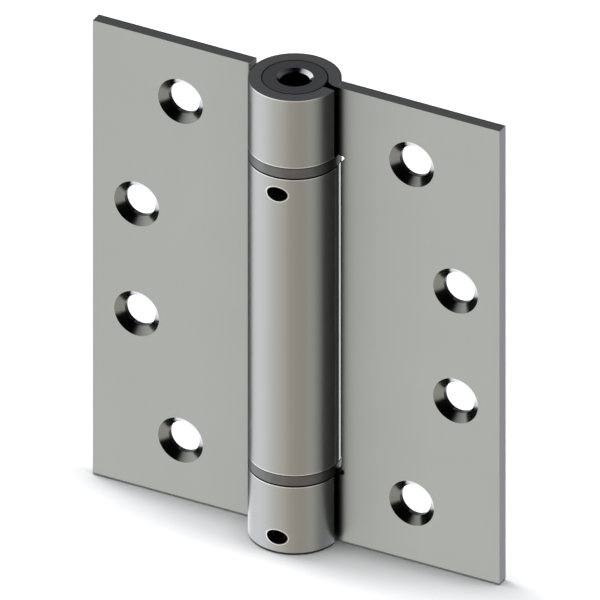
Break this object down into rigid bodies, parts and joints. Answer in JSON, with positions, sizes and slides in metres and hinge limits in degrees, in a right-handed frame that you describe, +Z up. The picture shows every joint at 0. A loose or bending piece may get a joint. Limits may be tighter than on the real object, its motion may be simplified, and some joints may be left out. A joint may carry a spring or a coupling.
{
  "type": "spring hinge",
  "caption": "Full-mortise spring hinge lying open flat: two countersunk leaves, a knuckled barrel with thrust washers, and a torsion spring turned by a keyed plug.",
  "frame": {"origin": "on the barrel axis at the lower end of the barrel and leaves, which is the bottom centre of the open hinge", "axes": "+Z up along the barrel axis, +X from the axis towards the frame leaf, -Y out of the countersunk faces, +Y towards the door and jamb"},
  "size_m": [0.1, 0.0204, 0.1143],
  "materials": {
    "leaf_steel": "satin",
    "washer_steel": "satin",
    "plug_steel": "satin",
    "spring_steel": "oiled",
    "pin_steel": "black oxide"
  },
  "bodies": {
    "frame": {"frame_leaf": "leaf_steel", "anchor_plug": "plug_steel", "anchor_pin": "pin_steel", "lower_washer": "washer_steel", "torsion_spring": "spring_steel"},
    "door": {"door_leaf": "leaf_steel", "upper_washer": "washer_steel"},
    "adjuster": {"adjuster_plug": "plug_steel"}
  },
  "joints": [
    {"name": "leaf_swing", "type": "hinge", "parent": "frame", "child": "door", "pos_m": [0, 0, 0.05715], "axis": [0, 0, 1], "range_deg": [0, 180]},
    {"name": "adjuster_turn", "type": "hinge", "parent": "frame", "child": "adjuster", "pos_m": [0, 0, 0.1], "axis": [0, 0, 1], "range_deg": [0, 270], "stiffness_Nm_per_rad": 0.6, "deforming": ["torsion_spring"]}
  ]
}
